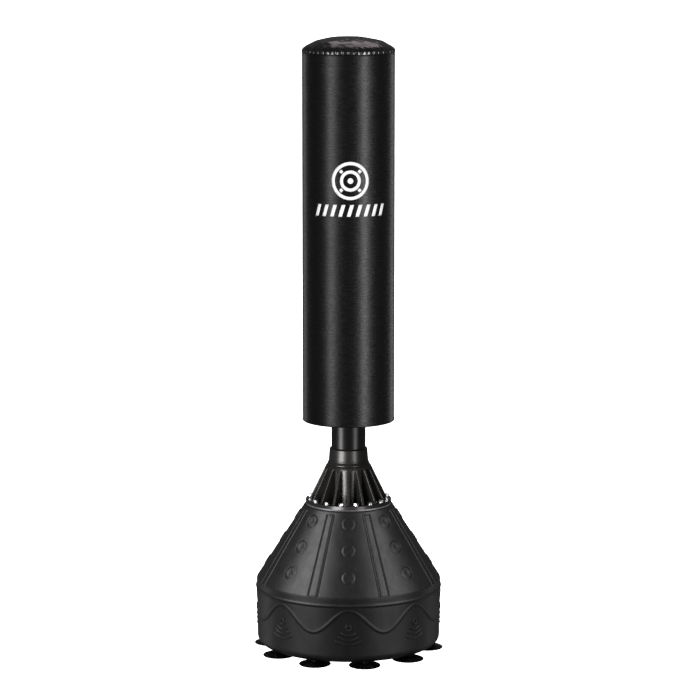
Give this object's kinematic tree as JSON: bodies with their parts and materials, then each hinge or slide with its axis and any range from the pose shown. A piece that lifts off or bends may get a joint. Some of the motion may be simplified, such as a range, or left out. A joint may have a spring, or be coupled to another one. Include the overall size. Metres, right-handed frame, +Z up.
{
  "type": "free-standing heavy punching bag",
  "caption": "Tall padded cylinder on a sprung ball pivot, above a conical water-filled floor tank with suction feet.",
  "frame": {"origin": "on the floor, under the bag's axis", "axes": "+Z up along the bag, -Y towards the printed front, +Y towards the filler cap"},
  "size_m": [0.543, 0.5368, 1.75],
  "materials": {
    "tank_plastic": "rotomoulded black plastic with a soft sheen",
    "ballast_water": null,
    "gasket_rubber": "flat black gasket rubber",
    "cap_plastic": "moulded black plastic",
    "zinc_steel": "bright zinc-plated steel",
    "insert_brass": "turned brass",
    "plate_steel": "black powder coat",
    "machined_steel": "turned steel",
    "ball_steel": "polished steel ball",
    "spring_steel": "black oiled spring steel",
    "housing_plastic": "satin black moulded nylon",
    "buffer_rubber": "firm black rubber",
    "post_steel": "dark painted tube",
    "collar_plastic": "satin black plastic",
    "tube_plastic": "satin black extruded plastic",
    "spacer_plastic": "dark grey plastic",
    "board_wood": "plywood stained dark",
    "foam_padding": "dense grey foam",
    "cover_leather": "black synthetic leather with a fine woven grain",
    "top_leather": "glossier black synthetic leather",
    "cup_rubber": "black rubber"
  },
  "bodies": {
    "base": {"base_tank": "tank_plastic", "water_ballast": "ballast_water", "suction_cup_01": "cup_rubber", "suction_cup_02": "cup_rubber", "suction_cup_03": "cup_rubber", "suction_cup_04": "cup_rubber", "suction_cup_05": "cup_rubber", "suction_cup_06": "cup_rubber", "suction_cup_07": "cup_rubber", "suction_cup_08": "cup_rubber", "suction_cup_09": "cup_rubber", "suction_cup_10": "cup_rubber", "cup_studs": "zinc_steel", "cup_inserts": "insert_brass", "flange_inserts": "insert_brass", "flange_washers": "zinc_steel", "flange_bolts": "zinc_steel", "mounting_plate": "plate_steel", "pivot_stem": "machined_steel", "main_spring": "spring_steel", "spring_housing": "housing_plastic", "tilt_buffer": "buffer_rubber"},
    "pivot": {"pivot_ball": "ball_steel"},
    "bag": {"pivot_cup": "machined_steel", "upper_spring_seat": "plate_steel", "pole_post": "post_steel", "neck_collar": "collar_plastic", "core_tube": "tube_plastic", "lower_post_spacer": "spacer_plastic", "upper_post_spacer": "spacer_plastic", "core_tube_plug": "spacer_plastic", "bag_floor": "board_wood", "inner_foam_wrap": "foam_padding", "outer_foam_wrap": "foam_padding", "top_pad": "foam_padding", "bag_cover": "cover_leather", "top_cover": "top_leather", "back_seam_strip": "cover_leather"},
    "filler_seal": {"filler_gasket": "gasket_rubber"},
    "filler_closure": {"filler_cap": "cap_plastic"}
  },
  "joints": [
    {"name": "tilt_fore_aft", "type": "hinge", "parent": "base", "child": "pivot", "pos_m": [0, 0, 0.468], "axis": [1, 0, 0], "range_deg": [-8, 8], "stiffness_Nm_per_rad": 900, "deforming": ["main_spring"]},
    {"name": "tilt_side", "type": "hinge", "parent": "pivot", "child": "bag", "pos_m": [0, 0, 0.468], "axis": [0, 1, 0], "range_deg": [-8, 8], "stiffness_Nm_per_rad": 900, "deforming": ["main_spring"]},
    {"name": "filler_cap_lift", "type": "slide", "parent": "base", "child": "filler_seal", "axis": [0, 0.8412, 0.5408], "range_m": [0, 0.012]},
    {"name": "filler_cap_turn", "type": "hinge", "parent": "filler_seal", "child": "filler_closure", "pos_m": [0, 0.16629, 0.355], "axis": [0, 0.8412, 0.5408], "range_deg": [0, 1080]}
  ],
  "couplings": [
    {"joint": "filler_cap_turn", "follows": "filler_cap_lift", "rad_per_m": 1570.8}
  ]
}
